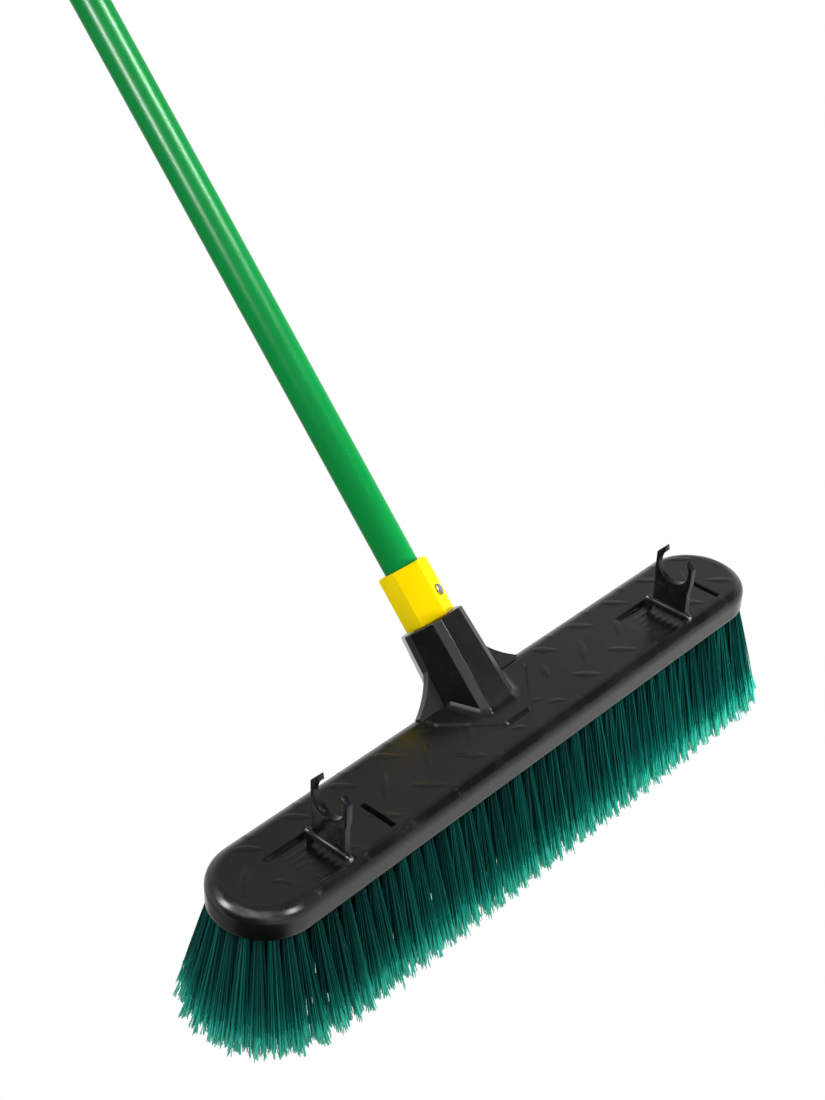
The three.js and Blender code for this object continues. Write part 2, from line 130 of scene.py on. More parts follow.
TUFT_PITCH = 11 * MM
END_PITCH = 7.5 * MM  # round the ends, where the tufts fan out
OUTER_ROW = 28.5 * MM
INNER_ROW = 14.5 * MM
SIDE_SPREAD = 13.7 * MM  # how far the outer tufts lean out, front and back
END_SPREAD = 12.0 * MM  # and past the round ends
TUFT_ROOT = 2.5 * MM
TIP_ALONG = 7 * MM
TIP_ACROSS = 10.6 * MM
FIBRE_RADIUS = 0.42 * MM
CORE_SHARE = 0.72  # how far down a tuft its packed core reaches; the core is painted near black as painted shade

# ------------------------------------------------------------ meshes


def piece(name, mesh, body, material, replaces=()):
    """An object that rides on a body, and may stand for CAD nodes."""
    obj = bpy.data.objects.new(name, mesh)
    bpy.context.scene.collection.objects.link(obj)
    mesh.materials.clear()
    mesh.materials.append(material)
    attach(obj, body)
    if replaces:
        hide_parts(*replaces)
    return obj


def finish_mesh(bm, name, sharp=40, flat_area=1.0):
    """A smooth mesh with steep edges left sharp and faces above an area left flat."""
    mesh = bpy.data.meshes.new(name)
    bm.to_mesh(mesh)
    bm.free()
    mesh.polygons.foreach_set("use_smooth", [p.area < flat_area for p in mesh.polygons])
    mesh.set_sharp_from_angle(angle=math.radians(sharp))
    return mesh


def bevel_edges(bm, width, steep=35, segments=3):
    edges = [
        e for e in bm.edges
        if len(e.link_faces) == 2 and e.calc_face_angle(0) > math.radians(steep)
    ]
    bmesh.ops.bevel(
        bm, geom=edges, offset=width, segments=segments, profile=0.5,
        affect="EDGES", clamp_overlap=True,
    )


def refined(node, name, body, material, bevel=0.0, flat_area=1.0):
    """A copy of a CAD node with its edges rounded, that stands for the node."""
    bm = bmesh.new()
    bm.from_mesh(frame["nodes"][node].data)
    bmesh.ops.remove_doubles(bm, verts=bm.verts, dist=2e-6)
    bmesh.ops.dissolve_limit(
        bm, angle_limit=math.radians(0.6), verts=bm.verts, edges=bm.edges
    )
    if bevel:
        bevel_edges(bm, bevel)
    bmesh.ops.recalc_face_normals(bm, faces=bm.faces)
    return piece(name, finish_mesh(bm, name, 40, flat_area), body, material, [node])


def add_rings(bm, rings, close_first=False, close_last=False):
    """Joins rings of the same number of points with quads."""
    rows = [[bm.verts.new(p) for p in ring] for ring in rings]
    count = len(rows[0])
    for a, b in zip(rows, rows[1:]):
        for i in range(count):
            k = (i + 1) % count
            bm.faces.new((a[i], a[k], b[k], b[i]))
    if close_first:
        bm.faces.new(list(reversed(rows[0])))
    if close_last:
        bm.faces.new(rows[-1])


# ------------------------------------------------------------ the block


def outline_columns():
    """Centre line points and outward directions round the block."""
    columns = []
    straight = 390
    around = 64
    for side in (1, -1):
        for i in range(straight):
            x = side * END_CENTRE * (2 * i / straight - 1)
            columns.append((x, 0.0, -side))
        for i in range(around):
            angle = -math.pi / 2 + math.pi * i / around
            columns.append((side * END_CENTRE, side * math.cos(angle), side * math.sin(angle)))
    return np.array(columns)


def curve(start, corner, end, steps):
    """Points after the start of a curve that is pulled towards a corner."""
    points = []
    for i in range(1, steps + 1):
        t = i / steps
        shares = ((1 - t) ** 2, 2 * t * (1 - t), t * t)
        points.append(tuple(
            sum(share * p[axis] for share, p in zip(shares, (start, corner, end)))
            for axis in (0, 1)
        ))
    return points


def edge_profile():
    """(radius, height) of the block's skin, from the underside to the middle."""
    profile = [
        (HALF_WIDTH - FOOT_CHAMFER, UNDERSIDE),
        (HALF_WIDTH - 0.3 * MM, UNDERSIDE + 0.3 * MM),
        (HALF_WIDTH, UNDERSIDE + FOOT_CHAMFER),
    ]
    wall_top = TOP - EDGE_DROP
    wall_low = UNDERSIDE + FOOT_CHAMFER
    for i in range(1, 6):
        profile.append((HALF_WIDTH, wall_low + (wall_top - EDGE_BLEND - wall_low) * i / 5))
    slope = math.hypot(EDGE_INSET, EDGE_DROP)
    share = EDGE_BLEND / slope
    low = (HALF_WIDTH - EDGE_INSET * share, wall_top + EDGE_DROP * share)
    share = TOP_BLEND / slope
    high = (HALF_WIDTH - EDGE_INSET * (1 - share), TOP - EDGE_DROP * share)
    face_radius = HALF_WIDTH - EDGE_INSET - TOP_BLEND
    wall_end = (HALF_WIDTH, wall_top - EDGE_BLEND)
    profile += curve(wall_end, (HALF_WIDTH, wall_top), low, BLEND_STEPS)
    profile += curve(low, low, high, BLEND_STEPS)  # the straight slope between the blends
    profile += curve(high, (HALF_WIDTH - EDGE_INSET, TOP), (face_radius, TOP), TOP_STEPS)
    steps = 44
    for i in range(1, steps + 1):
        profile.append((face_radius * (1 - i / steps), TOP))
    return profile


def smooth(value, low, high):
    t = np.clip((value - low) / (high - low), 0, 1)
    return t * t * (3 - 2 * t)


def inside_box(x, y, x_range, y_range, soft=0.5 * MM):
    """1 inside a rectangle of the top face, 0 outside it."""

    def between(value, low, high):
        rising = smooth(value, low - soft, low + soft)
        return rising * smooth(-value, -high - soft, -high + soft)

    return between(x, *x_range) * between(y, *y_range)


def polygon_distance(x, y, polygon):
    """Distance to a convex polygon's edge, negative inside it."""
    nearest = np.full(x.shape, np.inf)
    inside = np.ones(x.shape, bool)
    for (x0, y0), (x1, y1) in zip(polygon, polygon[1:] + polygon[:1]):
        dx, dy = x1 - x0, y1 - y0
        t = np.clip(((x - x0) * dx + (y - y0) * dy) / (dx * dx + dy * dy), 0, 1)
        nearest = np.minimum(nearest, np.hypot(x - x0 - t * dx, y - y0 - t * dy))
        inside &= dx * (y - y0) - dy * (x - x0) > 0
    return np.where(inside, -nearest, nearest)


def socket_outline(along):
    """The socket's hexagon with cut corners, as (x, down_back) points."""
    corner = SOCKET_CORNER + SOCKET_TAPER * (SOCKET_TOP - along)
    half = SOCKET_CUT / 2
    cut = corner - half / math.tan(math.pi / 3)
    back, aside = SOCKET_BLEND / 2, SOCKET_BLEND * math.sqrt(3) / 2
    shape = [
        (cut - back, -half - aside), (cut, -half), (cut, -half + SOCKET_BLEND),
        (cut, half - SOCKET_BLEND), (cut, half), (cut - back, half + aside),
    ]
    corners = []
    for side in range(6):
        c, s = math.cos(side * math.pi / 3), math.sin(side * math.pi / 3)
        corners.append([(u * c - w * s, u * s + w * c) for u, w in shape])
    points = []
    for here, after in zip(corners, corners[1:] + corners[:1]):
        (x0, y0), (x1, y1) = here[-1], after[0]
        points += here
        for i in range(1, FACET_STEPS):
            t = i / FACET_STEPS
            points.append((x0 + (x1 - x0) * t, y0 + (y1 - y0) * t))
    return points


def on_handle(x, down_back, along):
    return AXIS_ORIGIN + Vector((x, 0, 0)) + DOWN_BACK * down_back + HANDLE_AXIS * along


def socket_slice(height):
    """The socket's outline where a level plane cuts it."""
    points = []
    for k in range(len(socket_outline(0))):
        along = 0.0
        for _ in range(8):
            x, down_back = socket_outline(along)[k]
            along = (height - TOP - down_back * DOWN_BACK.z) / HANDLE_AXIS.z
        points.append(on_handle(x, down_back, along))
    return points


def lozenges(x, y):
    """Raised grip marks that lean left and right in turn."""
    column = np.round((x - LOZENGE_START[0]) / LOZENGE_STEP[0])
    row = np.round((y - LOZENGE_START[1]) / LOZENGE_STEP[1])
    used = (column + row) % 2 == 0
    turn = np.where(row % 2 == 0, -1.0, 1.0)
    dx = x - LOZENGE_START[0] - column * LOZENGE_STEP[0]
    dy = y - LOZENGE_START[1] - row * LOZENGE_STEP[1]
    along = (dx + turn * dy) / math.sqrt(2)
    across = (dy - turn * dx) / math.sqrt(2)
    reach = np.abs(along) / LOZENGE_HALF[0] + (across / LOZENGE_HALF[1]) ** 2
    return LOZENGE_HEIGHT * smooth(1 - reach, 0, 0.5) * used


def cleats(x, radius):
    """Small ribs across the sloping edge."""
    phase = np.abs((x - CLEAT_START) / CLEAT_PITCH - np.round((x - CLEAT_START) / CLEAT_PITCH))
    rib = 1 - smooth(phase * CLEAT_PITCH, 0.8 * MM, 3.2 * MM)
    band = smooth(radius, HALF_WIDTH - 10.5 * MM, HALF_WIDTH - 6.5 * MM)
    band = band * (1 - smooth(radius, HALF_WIDTH - 2.6 * MM, HALF_WIDTH - 0.8 * MM))
    return CLEAT_HEIGHT * rib * band


def clip_recess(z, x, y, hinge):
    """Cuts a clip's ribbed finger pocket and its slot into the heights."""
    dx = x - hinge.x
    pocket_x = (hinge.x + POCKET_X[0], hinge.x + POCKET_X[1])
    around = 2 * MM
    near = inside_box(
        x, y, (pocket_x[0] - around, pocket_x[1] + around),
        (POCKET_Y[0] - around, POCKET_Y[1] + around), around,
    )
    slope = np.clip((dx - POCKET_X[0]) / -POCKET_X[0], 0, 1)
    depth = POCKET_DEPTH[0] + (POCKET_DEPTH[1] - POCKET_DEPTH[0]) * slope
    ribs = RIB_HEIGHT * smooth(np.cos(2 * math.pi * (y - POCKET_Y[0]) / RIB_PITCH), -0.2, 0.6)
    ribs = ribs * smooth(dx, POCKET_X[0] + 8 * MM, POCKET_X[0] + 11 * MM)
    z = z * (1 - near) - (depth - ribs) * inside_box(x, y, pocket_x, POCKET_Y)
    slot_x = (hinge.x + SLOT_X[0], hinge.x + SLOT_X[1])
    slot_y = (hinge.y - SLOT_HALF_LENGTH, hinge.y + SLOT_HALF_LENGTH)
    return z - SLOT_DEPTH * inside_box(x, y, slot_x, slot_y, 0.4 * MM)


def top_relief(x, y, radius):
    """Height of the top face above its plane."""
    right = [(px * MM, py * MM) for px, py in PAD_OUTLINE]
    pad = right + [(-px, py) for px, py in reversed(right)]
    foot = [(p.x, p.y) for p in socket_slice(TOP + PAD_HEIGHT + FILLET_RISE)]
    to_pad = polygon_distance(x, y, pad)
    to_socket = polygon_distance(x, y, foot)
    inner = 1 - smooth(radius, HALF_WIDTH - 9.5 * MM, HALF_WIDTH - 8 * MM)
    z = lozenges(x, y) * smooth(to_pad, 1 * MM, 5 * MM) * inner
    z = z + cleats(x, radius)
    z = z + PAD_HEIGHT * (1 - smooth(to_pad, -PAD_SLOPE, 0.4 * MM))
    bend = np.clip(1 - to_socket / SOCKET_FILLET, 0, 1.2)
    z = z + FILLET_RISE * bend ** 2
    under = 1 - smooth(to_socket, -5 * MM, -1.5 * MM)
    z = z * (1 - under) - SOCKET_SINK * under
    for hinge in HINGES:
        z = clip_recess(z, x, y, hinge)
    return z


def add_block_shell(bm):
    columns = outline_columns()
    rings = []
    for radius, height in edge_profile():
        x = columns[:, 0] + radius * columns[:, 1]
        y = radius * columns[:, 2]
        z = np.full(x.shape, height)
        if height > TOP - EDGE_DROP:
            z = z + top_relief(x, y, np.full(x.shape, radius))
        rings.append(np.stack([x, y, z], 1).tolist())
    add_rings(bm, rings, close_first=True)
    bmesh.ops.remove_doubles(bm, verts=bm.verts, dist=1e-5)


def add_socket(bm):
    """The raked six-sided socket, with a rounded rim and its bore."""

    def ring(along, shrink=0.0):
        points = []
        for x, down_back in socket_outline(along):
            scale = 1 - shrink / math.hypot(x, down_back)
            points.append(on_handle(x * scale, down_back * scale, along))
        return points

    def circle(radius, along):
        points = []
        for x, down_back in socket_outline(along):
            size = math.hypot(x, down_back)
            points.append(on_handle(x / size * radius, down_back / size * radius, along))
        return points

    rings = [socket_slice(UNDERSIDE + FOOT_CHAMFER), socket_slice(TOP)]
    rings += [ring(SOCKET_TOP - SOCKET_RIM)]
    for i in range(1, RIM_STEPS + 1):
        angle = math.pi / 2 * i / RIM_STEPS
        along = SOCKET_TOP - SOCKET_RIM * (1 - math.sin(angle))
        rings.append(ring(along, SOCKET_RIM * (1 - math.cos(angle))))
    lip = 0.6 * MM
    rings += [circle(BORE_RADIUS + lip, SOCKET_TOP), circle(BORE_RADIUS, SOCKET_TOP - lip)]
    rings += [circle(BORE_RADIUS, BORE_FLOOR)]
    add_rings(bm, rings, close_first=True, close_last=True)


def add_prism(bm, outline, centre, axes, half, bevel):
    """A bevelled prism of an outline; axes are its two drawing directions."""
    normal = axes[0].cross(axes[1]).normalized()
    part = bmesh.new()
    rings = [
        [centre + axes[0] * u + axes[1] * v + normal * offset for u, v in outline]
        for offset in (-half, half)
    ]
    add_rings(part, rings, close_first=True, close_last=True)
    bevel_edges(part, bevel)
    mesh = bpy.data.meshes.new("part")
    part.to_mesh(mesh)
    part.free()
    bm.from_mesh(mesh)
    bpy.data.meshes.remove(mesh)


def fin_outline():
    root = -12 * MM
    inner = SOCKET_CORNER - 1 * MM
    bend = SOCKET_CORNER + 5 * MM
    wing = []
    steps = 14
    for i in range(steps + 1):
        t = i / steps
        u = (1 - t) ** 2 * FIN_REACH + 2 * t * (1 - t) * bend + t * t * inner
        v = 2 * t * (1 - t) * FIN_RISE * 0.45 + t * t * FIN_RISE
        wing.append((u, v))
    mirrored = [(-u, v) for u, v in reversed(wing)]
    return [(FIN_REACH, root)] + wing + mirrored + [(-FIN_REACH, root)]


def ear_outline():
    foot = -(POCKET_DEPTH[1] + 1 * MM)
    radius = EAR_HALF_LENGTH - 1 * MM
    points = [(-EAR_HALF_LENGTH, foot), (EAR_HALF_LENGTH, foot)]
    for i in range(11):
        angle = math.pi * i / 10
        points.append((radius * math.cos(angle), HINGE_HEIGHT + radius * math.sin(angle)))
    return points


def build_block(material):
    bm = bmesh.new()
    add_block_shell(bm)
    add_socket(bm)
    x_axis, z_axis = Vector((1, 0, 0)), Vector((0, 0, 1))
    add_prism(bm, fin_outline(), AXIS_ORIGIN, (x_axis, HANDLE_AXIS), FIN_THICKNESS / 2, 1.2 * MM)
    for hinge in HINGES:
        for side in (-1, 1):
            y = hinge.y + side * (CLIP_HALF_WIDTH + EAR_THICKNESS / 2)
            centre = Vector((hinge.x, y, TOP))
            add_prism(bm, ear_outline(), centre, (x_axis, z_axis), EAR_THICKNESS / 2, 0.5 * MM)
    bmesh.ops.recalc_face_normals(bm, faces=bm.faces)
    mesh = finish_mesh(bm, "block_shell", 48, 60 * MM * MM)
    return piece("block_shell", mesh, "broom_head", material, ["block"])


# ------------------------------------------------------------ bristles


def straight_places(row, side):
    count = int(2 * END_CENTRE / TUFT_PITCH)
    return [
        ((i - (count - 1) / 2) * TUFT_PITCH, side * row, 0.0, float(side))
        for i in range(count)
    ]


def end_places(row, side):
    count = round(math.pi * row / END_PITCH)
    places = []
    for i in range(count):
        angle = -math.pi / 2 + math.pi * (i + 0.5) / count
        out_x, out_y = side * math.cos(angle), math.sin(angle)
        places.append((side * END_CENTRE + row * out_x, row * out_y, out_x, out_y))
    return places


def tuft_frame(place, row):
    """A tuft's root, the middle of its tip, and its directions along and across the row."""
    x, y, out_x, out_y = place
    lean = row / OUTER_ROW
    root = np.array([x, y, UNDERSIDE + 1.5 * MM])
    tip = np.array([x + lean * END_SPREAD * out_x, y + lean * SIDE_SPREAD * out_y, 0.0])
    return root, tip, np.array([-out_y, out_x, 0.0]), np.array([out_x, out_y, 0.0])


def painted_shade_core(place, row):
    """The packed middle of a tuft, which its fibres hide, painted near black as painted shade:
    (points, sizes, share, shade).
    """
    root, tip, _, _ = tuft_frame(place, row)
    shares = [0.0, 0.25, 0.5, CORE_SHARE]
    points = [root + (tip - root) * t for t in shares]
    sizes = [1.9 * MM + 1.6 * MM * t for t in shares]
    sizes[-1] = 0.6 * MM
    # a shade of -1 paints the core near black: painted shade inside the tuft
    return points, sizes, shares, -1.0


def fibre_strands(place, row, fibres, rng):
    """One tuft's fibres, each with split ends: (points, sizes, shares, shade)."""
    root, tip, along_way, across_way = tuft_frame(place, row)
    tuft_shade = rng.uniform(-0.10, 0.10)
    turn = rng.uniform(-0.8, 0.8) * MM
    strands = []
    for k in range(fibres):
        radius = ((k + 0.5) / fibres) ** 0.44
        angle = 2.39996 * k + rng.uniform(-0.25, 0.25)
        along, across = radius * math.cos(angle), radius * math.sin(angle)
        start = root + TUFT_ROOT * (along_way * along + across_way * across)
        end = tip + along_way * (TIP_ALONG * along + turn) + across_way * TIP_ACROSS * across
        end = end + along_way * rng.gauss(0, 0.5) * MM + across_way * rng.gauss(0, 0.8) * MM
        end[2] = min(abs(rng.gauss(0, 0.9)), 3) * MM + 0.2 * MM
        # each tuft and fibre varies at random; the radius term is painted shade and light: inner
        # fibres darker, outer fibres lighter
        shade = tuft_shade + rng.uniform(-0.22, 0.22) + 0.35 * (radius - 0.75)
        way = end - start
        body = [0.0, 0.3, 0.6, 0.84]
        bow = rng.uniform(-0.5, 0.5) * MM
        points = [start + way * t + across_way * bow * math.sin(math.pi * t) for t in body]
        strands.append((points, [FIBRE_RADIUS] * 4, body, shade))
        for _ in range(4):
            stray = np.array([rng.gauss(0, 0.8), rng.gauss(0, 0.8), rng.uniform(-0.2, 1.0)]) * MM
            share = [0.78, 0.9, 1.0]
            ends = [start + way * t + stray * ((t - 0.78) / 0.22) ** 1.4 for t in share]
            for point in ends:
                point[2] = max(point[2], 0.15 * MM)
            sizes = [FIBRE_RADIUS, FIBRE_RADIUS, FIBRE_RADIUS * 0.75]
            # split ends are a little lighter on average: paler split tips, partly painted light
            strands.append((ends, sizes, share, shade + rng.uniform(-0.1, 0.25)))
    return strands


def bristle_mesh(name, places, row, fibres, seed):
    """Every fibre of a row of tufts as a thin three-sided tube, round a packed core painted near
    black as painted shade.
    """
    rng = random.Random(seed)
    vertices, faces, shares, shades = [], [], [], []

    def add_strand(strand, sides):
        points, sizes, share, shade = strand
        first = len(vertices)
        for point, size, t in zip(points, sizes, share):
            for corner in range(sides):
                angle = 0.3 + 2 * math.pi * corner / sides
                across = size * math.cos(angle), size * math.sin(angle)
                vertices.append((point[0] + across[0], point[1] + across[1], point[2]))
                shares.append(t)
                shades.append(shade)
        for k in range(len(points) - 1):
            for corner in range(sides):
                a = first + sides * k + corner
                b = first + sides * k + (corner + 1) % sides
                faces.append((b, a, a + sides, b + sides))
        last = first + sides * (len(points) - 1)
        faces.append(tuple(last + corner for corner in reversed(range(sides))))
        faces.append(tuple(first + corner for corner in range(sides)))

    for place in places:
        add_strand(painted_shade_core(place, row), CORE_SIDES)
        for strand in fibre_strands(place, row, fibres, rng):
            add_strand(strand, FIBRE_SIDES)
    mesh = bpy.data.meshes.new(name)
    mesh.from_pydata(vertices, [], faces)
    mesh.attributes.new("share", "FLOAT", "POINT").data.foreach_set("value", shares)
    mesh.attributes.new("shade", "FLOAT", "POINT").data.foreach_set("value", shades)
    mesh.polygons.foreach_set("use_smooth", [True] * len(mesh.polygons))
    return mesh


def build_bristles(material):
    rows = {"outer": (OUTER_ROW, 56), "inner": (INNER_ROW, 26)}
    seed = 11
    for ring, (row, fibres) in rows.items():
        sides = {
            "front": straight_places(row, -1),
            "back": straight_places(row, 1),
            "left": end_places(row, -1),
            "right": end_places(row, 1),
        }
        for side, places in sides.items():
            name = f"bristles_{ring}_{side}"
            mesh = bristle_mesh(name, places, row, fibres, seed)
            piece(name, mesh, "broom_head", material, [f"tufts_{ring}_{side}"])
            seed += 1
    mesh = bristle_mesh("bristles_centre", straight_places(0.0, 1), 0.0, 20, seed)
    piece("bristles_centre", mesh, "broom_head", material, ["tufts_centre"])


# ------------------------------------------------------------ materials


class Material:
    """A principled material with helpers for its procedural detail."""

    def __init__(self, name, colour, roughness, specular=0.5, metallic=0.0):
        self.material = bpy.data.materials.new(name)
        self.material.use_nodes = True
        self.tree = self.material.node_tree
        self.shader = self.tree.nodes["Principled BSDF"]
        self.shader.inputs["Base Color"].default_value = (*colour, 1)
        self.shader.inputs["Roughness"].default_value = roughness
        self.shader.inputs["Metallic"].default_value = metallic
        self.shader.inputs["Specular IOR Level"].default_value = specular
        self.height = None

    def node(self, kind, **settings):
        node = self.tree.nodes.new(kind)
        for key, value in settings.items():
            setattr(node, key, value)
        return node

    def link(self, source, target):
        self.tree.links.new(source, target)

    def coordinates(self, scale=(1, 1, 1)):
        where = self.node("ShaderNodeTexCoord")
        mapping = self.node("ShaderNodeMapping")
        mapping.inputs["Scale"].default_value = scale
        self.link(where.outputs["Object"], mapping.inputs["Vector"])
        return mapping.outputs["Vector"]

    def noise(self, scale, detail=3.0, rough=0.5, stretch=(1, 1, 1)):
        noise = self.node("ShaderNodeTexNoise")
        noise.inputs["Scale"].default_value = scale
        noise.inputs["Detail"].default_value = detail
        noise.inputs["Roughness"].default_value = rough
        self.link(self.coordinates(stretch), noise.inputs["Vector"])
        return noise.outputs["Fac"]

    def ramp(self, value, low, high, out_low=0.0, out_high=1.0):
        node = self.node("ShaderNodeMapRange")
        node.inputs["From Min"].default_value = low
        node.inputs["From Max"].default_value = high
        node.inputs["To Min"].default_value = out_low
        node.inputs["To Max"].default_value = out_high
        self.link(value, node.inputs["Value"])
        return node.outputs["Result"]

    def blend_colour(self, amount, first, second):
        """Mixes two colours (or a colour and a socket) by a socket's value."""
        mix = self.node("ShaderNodeMix", data_type="RGBA")
        self.link(amount, mix.inputs["Factor"])
        for value, socket in ((first, mix.inputs[6]), (second, mix.inputs[7])):
            if isinstance(value, tuple):
                socket.default_value = (*value, 1)
            else:
                self.link(value, socket)
        return mix.outputs[2]

    def add_bump(self, height, strength, distance):
        bump = self.node("ShaderNodeBump")
        bump.inputs["Strength"].default_value = strength
        bump.inputs["Distance"].default_value = distance
        self.link(height, bump.inputs["Height"])
        if self.height is not None:
            self.link(self.height, bump.inputs["Normal"])
        self.height = bump.outputs["Normal"]
        self.link(self.height, self.shader.inputs["Normal"])

    def set_colour(self, socket):
        self.link(socket, self.shader.inputs["Base Color"])

    def set_roughness(self, socket):
        self.link(socket, self.shader.inputs["Roughness"])


def moulded_plastic(name, dark, light, roughness, specular=0.5):
    """Moulded plastic: fine grain, cloudy gloss, dust and pale rubbed edges."""
    m = Material(name, dark, roughness, specular)
    cloud = m.noise(38, 4, 0.6)
    dust = m.noise(900, 2, 0.7)
    colour = m.blend_colour(m.ramp(cloud, 0.35, 0.75), dark, light)
    speck = m.ramp(dust, 0.66, 0.76, 0.0, 0.35)
    colour = m.blend_colour(speck, colour, tuple(min(1.0, 2.2 * v + 0.02) for v in light))
    edge = m.node("ShaderNodeNewGeometry")
    rubbed = m.ramp(edge.outputs["Pointiness"], 0.56, 0.70, 0.0, 0.25)
    colour = m.blend_colour(rubbed, colour, tuple(min(1.0, 1.8 * v + 0.012) for v in light))
    m.set_colour(colour)
    m.set_roughness(m.ramp(cloud, 0.3, 0.7, roughness - 0.06, roughness + 0.08))
    m.add_bump(m.noise(2600, 2, 0.6), 0.25, 0.00006)
    m.add_bump(m.noise(160, 3, 0.5), 0.12, 0.0002)
    return m.material


def bristle_material():
    """Plastic fibre: painted shade darkens it towards the root, and the split tips are paler,
    with painted light on them.
    """
    m = Material("bristle_fibre", (0.0, 0.2, 0.17), 0.5, 0.12)
    share = m.node("ShaderNodeAttribute", attribute_name="share")
    shade = m.node("ShaderNodeAttribute", attribute_name="shade")
    # colour along each fibre: painted shade towards the root, where the block and the packed
    # tuft shade it, up to pale split tips brightened with painted light
    painted_shade_and_tips = m.node("ShaderNodeValToRGB")
    stops = painted_shade_and_tips.color_ramp.elements
    stops[0].position, stops[0].color = 0.0, (0.0, 0.034, 0.030, 1)
    stops[1].position, stops[1].color = 1.0, (0.18, 0.78, 0.60, 1)
    for position, colour in (
        (0.25, (0.0, 0.062, 0.053)),
        (0.62, (0.0, 0.100, 0.082)),
        (0.80, (0.008, 0.32, 0.24)),
        (0.91, (0.05, 0.56, 0.42)),
    ):
        stop = stops.new(position)
        stop.color = (*colour, 1)
    m.link(share.outputs["Fac"], painted_shade_and_tips.inputs["Fac"])
    # positive shade lightens a fibre and negative shade darkens it: random variation, plus
    # painted shade on inner fibres and the near-black core, and painted light on outer fibres
    lighter = m.ramp(shade.outputs["Fac"], 0.0, 0.6, 0.0, 0.6)
    darker = m.ramp(shade.outputs["Fac"], -0.6, 0.0, 0.85, 0.0)
    colour = m.blend_colour(lighter, painted_shade_and_tips.outputs["Color"], (0.004, 0.30, 0.24))
    colour = m.blend_colour(darker, colour, (0.0, 0.008, 0.008))
    m.set_colour(colour)
    m.add_bump(m.noise(700, 2, 0.5, (1, 1, 0.1)), 0.2, 0.0001)
    return m.material


def painted_tube():
    """Glossy powder paint on a steel tube, with faint scuffs along it."""
    m = Material("green_tube", (0.0, 0.25, 0.048), 0.3, 0.08)
    patch = m.noise(22, 3, 0.5)
    scuff = m.noise(60, 4, 0.7, (6, 1, 1))
    colour = m.blend_colour(m.ramp(patch, 0.3, 0.7), (0.0, 0.234, 0.042), (0.0, 0.256, 0.049))
    colour = m.blend_colour(m.ramp(scuff, 0.7, 0.78, 0.0, 0.2), colour, (0.004, 0.30, 0.065))
    m.set_colour(colour)
    return m.material


def metal(name, colour, roughness):
    m = Material(name, colour, roughness, 0.5, 1.0)
    grain = m.noise(1500, 3, 0.6, (1, 1, 0.2))
    m.set_roughness(m.ramp(grain, 0.3, 0.7, roughness - 0.08, roughness + 0.12))
    m.set_colour(m.blend_colour(m.ramp(grain, 0.4, 0.8), colour, tuple(v * 0.7 for v in colour)))
    m.add_bump(grain, 0.15, 0.00005)
    return m.material


# ------------------------------------------------------------ camera and light

CAMERA_AZIMUTH = -48.3
CAMERA_ELEVATION = 33.7
CAMERA_ROLL = 1.9
CAMERA_DISTANCE = 1.088
CAMERA_RIGHT = -0.0547
CAMERA_UP = 0.0948
CAMERA_LENS = 59.45


def place_camera(target):
    azimuth, elevation, roll = (
        math.radians(v) for v in (CAMERA_AZIMUTH, CAMERA_ELEVATION, CAMERA_ROLL)
    )
    back = Vector((
        math.sin(azimuth) * math.cos(elevation),
        -math.cos(azimuth) * math.cos(elevation),
        math.sin(elevation),
    ))
    level = Vector((0, 0, 1)).cross(back).normalized()
    upright = back.cross(level)
    right = level * math.cos(roll) + upright * math.sin(roll)
    up = upright * math.cos(roll) - level * math.sin(roll)
    data = bpy.data.cameras.new("camera")
    data.lens = CAMERA_LENS
    data.sensor_width = 36
    camera = bpy.data.objects.new("camera", data)
    bpy.context.scene.collection.objects.link(camera)
    place = target + back * CAMERA_DISTANCE + right * CAMERA_RIGHT + up * CAMERA_UP
    turn = Matrix((right, up, back)).transposed().to_4x4()
    camera.matrix_world = Matrix.Translation(place) @ turn
    bpy.context.scene.camera = camera


# What glossy surfaces mirror: (height of the direction, brightness), then lobes as
# (direction, half angles where the lobe is full and where it ends, factor or strength).
TENT_LEVELS = (
    (-1.0, 0.9), (-0.3, 1.0), (0.02, 0.9), (0.3, 0.65), (0.55, 0.5), (0.8, 0.3), (1.0, 0.25),
)
SHADES = (
    ((-0.58, -0.36, -0.73), 26, 46, 0.0),
    ((0.64, -0.32, 0.70), 13, 25, 0.0),
    ((-0.99, -0.13, 0.08), 24, 46, 0.05),
    ((-0.42, 0.60, -0.68), 18, 38, 0.3),
)
LAMPS = (
    ((-0.50, 0.52, 0.69), 4, 8, 30.0),
    ((0.17, -0.53, 0.83), 3.5, 7, 30.0),
    ((-0.42, -0.10, 0.89), 8, 24, 3.2),
    ((-0.37, -0.69, 0.61), 9, 18, 1.1),
    ((0.62, -0.61, 0.49), 8, 17, 0.1),
)
# What matt surfaces receive: brightest from the front right and above.
KEY_DIRECTION = (0.35, -0.65, 0.67)
KEY_LEVEL = 0.93
KEY_CONTRAST = 0.42
STRIP_ALONG_HANDLE = 0.45
BRISTLE_LAMP_SIZE = 0.3
BRISTLE_LAMP_ENERGY = 6.4


